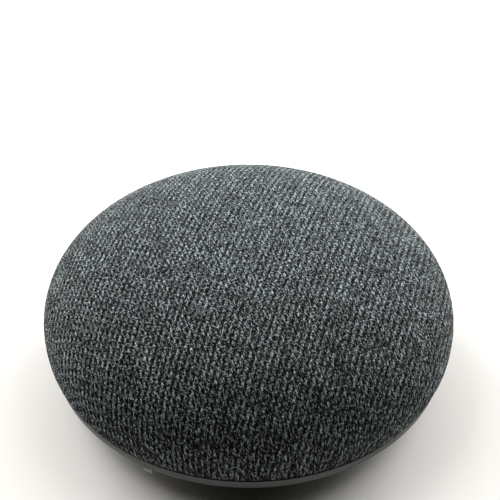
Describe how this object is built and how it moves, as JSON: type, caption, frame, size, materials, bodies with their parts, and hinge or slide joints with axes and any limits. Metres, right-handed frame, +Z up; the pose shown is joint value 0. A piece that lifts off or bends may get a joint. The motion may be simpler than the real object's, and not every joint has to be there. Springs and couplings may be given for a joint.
{
  "type": "smart speaker",
  "caption": "Round fabric-covered smart speaker with a domed knitted top, plastic base, silicone foot, rear power port, mute slider, reset button and a full-range driver inside.",
  "frame": {"origin": "centre of the foot's underside, on the table", "axes": "+Z up along the axis of the round case, +Y towards the power port at the rear, +X to the right seen from the front"},
  "size_m": [0.098, 0.098, 0.042],
  "materials": {
    "cover_knit": "charcoal melange knit",
    "base_plastic": "fine satin grain",
    "control_plastic": "satin",
    "dark_plastic": "moulded",
    "foot_silicone": "matt silicone",
    "soft_black": "matt",
    "circuit_board": "solder mask",
    "chip_black": "moulded",
    "screw_steel": "zinc plated",
    "tin_plate": "tinned",
    "copper": "enamelled copper",
    "gold_plate": "gold plated",
    "cast_aluminium": "die cast",
    "thermal_putty": "soft",
    "ferrite": "sintered",
    "cone_paper": "pressed fibre",
    "spider_cloth": "resin-dipped cloth",
    "light_clear": "diffusing",
    "led_white": "ceramic and phosphor",
    "film_amber": "polyimide film",
    "wire_red": "wire insulation",
    "connector_ivory": "moulded"
  },
  "bodies": {
    "housing": {"foot_pad": "foot_silicone", "base_housing": "base_plastic", "case_screws": "screw_steel", "fabric_cover": "cover_knit", "grille_shell": "dark_plastic", "fabric_clamp_ring": "dark_plastic", "touch_pad_left": "copper", "touch_pad_right": "copper", "led_board": "circuit_board", "leds": "led_white", "light_guide": "light_clear", "microphones": "tin_plate", "mic_gaskets": "soft_black", "led_board_screws": "screw_steel", "main_board": "circuit_board", "processor": "chip_black", "shield_can": "tin_plate", "thermal_pad": "thermal_putty", "heat_spreader": "cast_aluminium", "radio_module": "tin_plate", "wifi_antennas": "gold_plate", "audio_amplifier": "chip_black", "power_coils": "ferrite", "board_screws": "screw_steel", "speaker_enclosure": "dark_plastic", "enclosure_screws": "screw_steel", "driver_gasket": "soft_black", "driver_basket": "dark_plastic", "driver_yoke": "tin_plate", "driver_magnet": "ferrite", "driver_top_plate": "tin_plate", "cone_surround": "soft_black", "spider": "spider_cloth", "driver_terminal": "circuit_board", "driver_leads": "wire_red", "driver_screws": "screw_steel", "io_board": "circuit_board", "usb_port": "tin_plate", "mute_switch": "chip_black", "reset_switch": "tin_plate", "io_board_screws": "screw_steel", "io_flex": "film_amber", "led_flex": "film_amber", "flex_connectors": "connector_ivory"},
    "diaphragm": {"voice_coil": "copper", "driver_cone": "cone_paper", "dust_cap": "cone_paper"},
    "mute_slider": {"mute_slider": "control_plastic"},
    "reset_button": {"reset_button": "control_plastic"}
  },
  "joints": [
    {"name": "cone_travel", "type": "slide", "parent": "housing", "child": "diaphragm", "axis": [0, 0, 1], "range_m": [-0.0015, 0.0015], "stiffness_N_per_m": 2400, "deforming": ["cone_surround", "spider"]},
    {"name": "mute_slide", "type": "slide", "parent": "housing", "child": "mute_slider", "axis": [-0.8988, 0.4384, 0], "range_m": [0, 0.0028]},
    {"name": "reset_press", "type": "slide", "parent": "housing", "child": "reset_button", "axis": [0.3746, -0.9272, 0], "range_m": [0, 0.0004], "stiffness_N_per_m": 3500}
  ]
}
